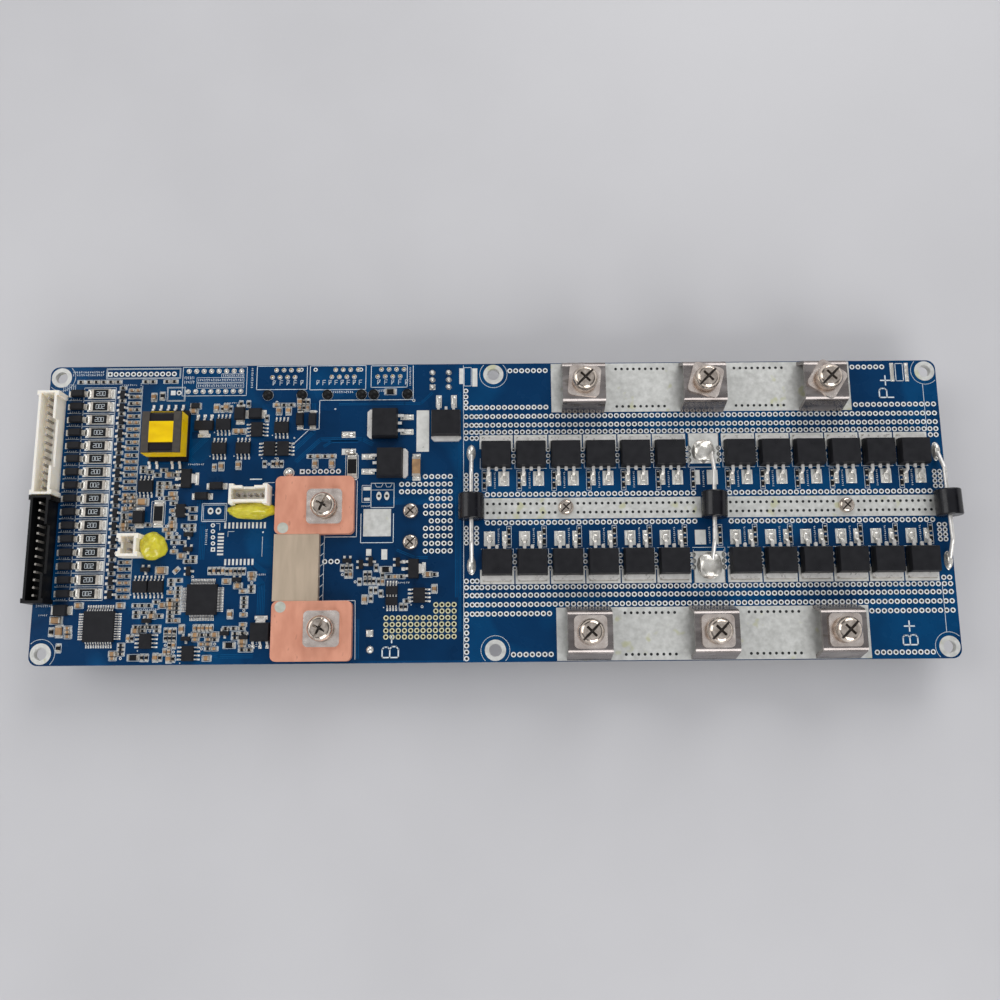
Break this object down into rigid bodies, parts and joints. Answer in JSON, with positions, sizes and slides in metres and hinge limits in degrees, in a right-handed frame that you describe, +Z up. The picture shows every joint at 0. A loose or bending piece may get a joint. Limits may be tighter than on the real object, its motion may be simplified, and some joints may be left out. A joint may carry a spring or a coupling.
{
  "type": "battery management board",
  "caption": "Long circuit board for a battery pack: cell headers at one end, a copper shunt, rows of power transistors, screw terminals and a finned heatsink below.",
  "frame": {"origin": "centre of the board on its underside, which is the centre of the four corner holes", "axes": "+X along the board, from the cell headers to the end with the third surge diode; +Y to the edge with the modular jacks; +Z up out of the populated side"},
  "size_m": [0.3029, 0.1, 0.0283],
  "materials": {
    "solder_mask_board": "blue solder mask over glass laminate",
    "tinned_bracket": "tin plated, satin",
    "nickel_steel": "nickel plated, satin",
    "shunt_copper": "bare copper, satin",
    "resistance_alloy": "copper manganese alloy, satin",
    "moulded_package": "moulded epoxy, matt",
    "tinned_leads": "bright tin",
    "white_nylon": "moulded, satin",
    "black_nylon": "moulded, satin",
    "ferrite": "ground ferrite, matt",
    "yellow_tape": "polyester tape, glossy",
    "resistor_glaze": "dark glaze on alumina",
    "capacitor_ceramic": "matt",
    "contact_metal": "gold plated",
    "sink_aluminium": "extruded, mill finish",
    "pad_rubber": "soft thermal pad, matt"
  },
  "bodies": {
    "root": {"circuit_board": "solder_mask_board", "pack_terminal_left": "tinned_bracket", "pack_terminal_middle": "tinned_bracket", "pack_terminal_right": "tinned_bracket", "battery_terminal_left": "tinned_bracket", "battery_terminal_middle": "tinned_bracket", "battery_terminal_right": "tinned_bracket", "terminal_washers": "nickel_steel", "terminal_spring_washers": "nickel_steel", "terminal_screws": "nickel_steel", "terminal_nuts": "nickel_steel", "shunt_upper_plate": "shunt_copper", "shunt_bridge": "resistance_alloy", "shunt_lower_plate": "shunt_copper", "shunt_washers": "nickel_steel", "shunt_spring_washers": "nickel_steel", "shunt_screws": "nickel_steel", "shunt_nuts": "nickel_steel", "transistors_upper_left": "moulded_package", "transistors_upper_right": "moulded_package", "transistors_lower_left": "moulded_package", "transistors_lower_right": "moulded_package", "lead_frames_upper": "tinned_leads", "lead_frames_lower": "tinned_leads", "surge_diode_left": "moulded_package", "surge_diode_middle": "moulded_package", "surge_diode_right": "moulded_package", "surge_diode_wires": "tinned_leads", "regulators": "moulded_package", "regulator_frames": "tinned_leads", "white_cell_header": "white_nylon", "black_cell_header": "black_nylon", "cell_header_pins": "tinned_leads", "two_pin_header": "white_nylon", "five_pin_header": "white_nylon", "small_header_pins": "tinned_leads", "transformer_core": "ferrite", "transformer_bobbin": "black_nylon", "transformer_winding": "yellow_tape", "transformer_tape": "yellow_tape", "transformer_leads": "tinned_leads", "controller_chip": "moulded_package", "monitor_chip": "moulded_package", "small_outline_chips": "moulded_package", "tab_regulators": "moulded_package", "board_diodes": "moulded_package", "balance_diodes": "moulded_package", "balance_resistors": "resistor_glaze", "chip_capacitor": "capacitor_ceramic", "modular_jack_left": "black_nylon", "modular_jack_middle": "black_nylon", "modular_jack_right": "black_nylon", "jack_contacts": "contact_metal", "dual_in_line_chip": "moulded_package", "dual_in_line_legs": "tinned_leads", "six_pin_socket": "black_nylon", "six_pin_legs": "tinned_leads", "heatsink": "sink_aluminium", "thermal_pad": "pad_rubber", "heatsink_screws": "nickel_steel"}
  },
  "joints": []
}
